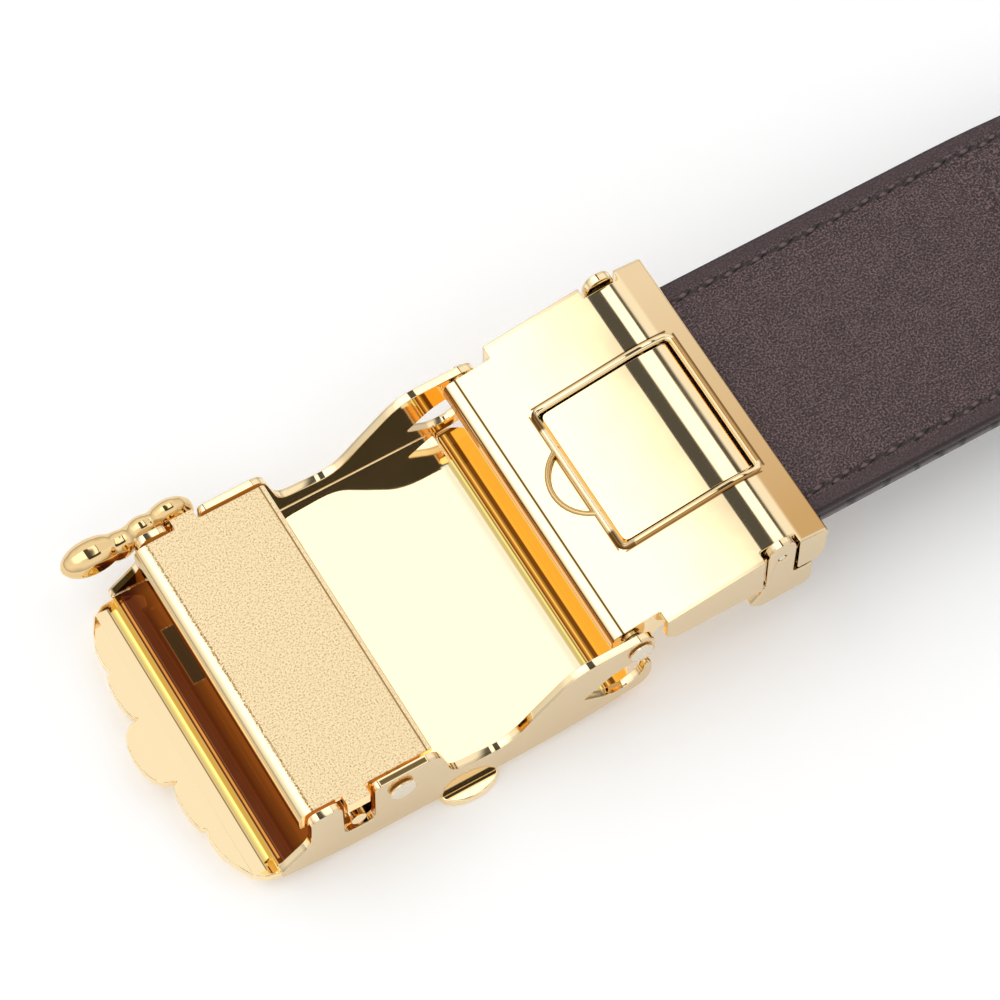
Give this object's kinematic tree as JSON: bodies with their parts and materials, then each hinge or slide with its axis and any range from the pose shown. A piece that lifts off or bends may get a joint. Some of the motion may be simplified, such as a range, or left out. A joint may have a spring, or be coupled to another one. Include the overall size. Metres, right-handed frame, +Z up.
{
  "type": "leather belt with ratchet buckle",
  "caption": "Buckle end of a dark brown leather belt: polished gold ratchet buckle face down, scalloped face plate, sand-blasted keeper bar, thumb lever, strap clamp and a stitched strap",
  "frame": {"origin": "the middle of the flat on the face plate's outer face, which rests on the table", "axes": "+X along the belt from the buckle towards the strap's tip, +Y across the belt to the side of the release lever, +Z up, out of the back of the buckle"},
  "size_m": [0.23, 0.0477, 0.02],
  "materials": {
    "polished_gold": "mirror-polished gold plating",
    "blasted_gold": "fine sand-blasted gold plating",
    "rivet_gold": "pale plated rivet ends",
    "lining_leather": "soft fine-grained dark brown lining",
    "crocodile_leather": "embossed crocodile scales, semi-gloss"
  },
  "bodies": {
    "strap_clamp": {"clamp_cover": "polished_gold", "clamp_base": "polished_gold", "clamp_pin": "rivet_gold", "flap_pin": "rivet_gold", "strap_lining": "lining_leather", "strap_face": "crocodile_leather"},
    "buckle_frame": {"face_plate": "polished_gold", "frame_channel": "polished_gold", "keeper_bar": "blasted_gold", "pawl_axle": "rivet_gold", "hinge_rivet_near": "rivet_gold", "hinge_rivet_far": "rivet_gold"},
    "pawl_release": {"pawl": "polished_gold", "release_lever": "polished_gold"},
    "flap": {"clamp_flap": "polished_gold"}
  },
  "joints": [
    {"name": "buckle_hinge", "type": "hinge", "parent": "strap_clamp", "child": "buckle_frame", "pos_m": [0.0254, 0, 0.0124], "axis": [0, 1, 0], "range_deg": [-8, 25]},
    {"name": "pawl_hinge", "type": "hinge", "parent": "buckle_frame", "child": "pawl_release", "pos_m": [-0.0062, 0, 0.0102], "axis": [0, 1, 0], "range_deg": [0, 10], "stiffness_Nm_per_rad": 0.01, "springref_deg": -20.05},
    {"name": "flap_hinge", "type": "hinge", "parent": "strap_clamp", "child": "flap", "pos_m": [0.0464, 0, 0.01756], "axis": [0, 1, 0], "range_deg": [0, 80]}
  ]
}
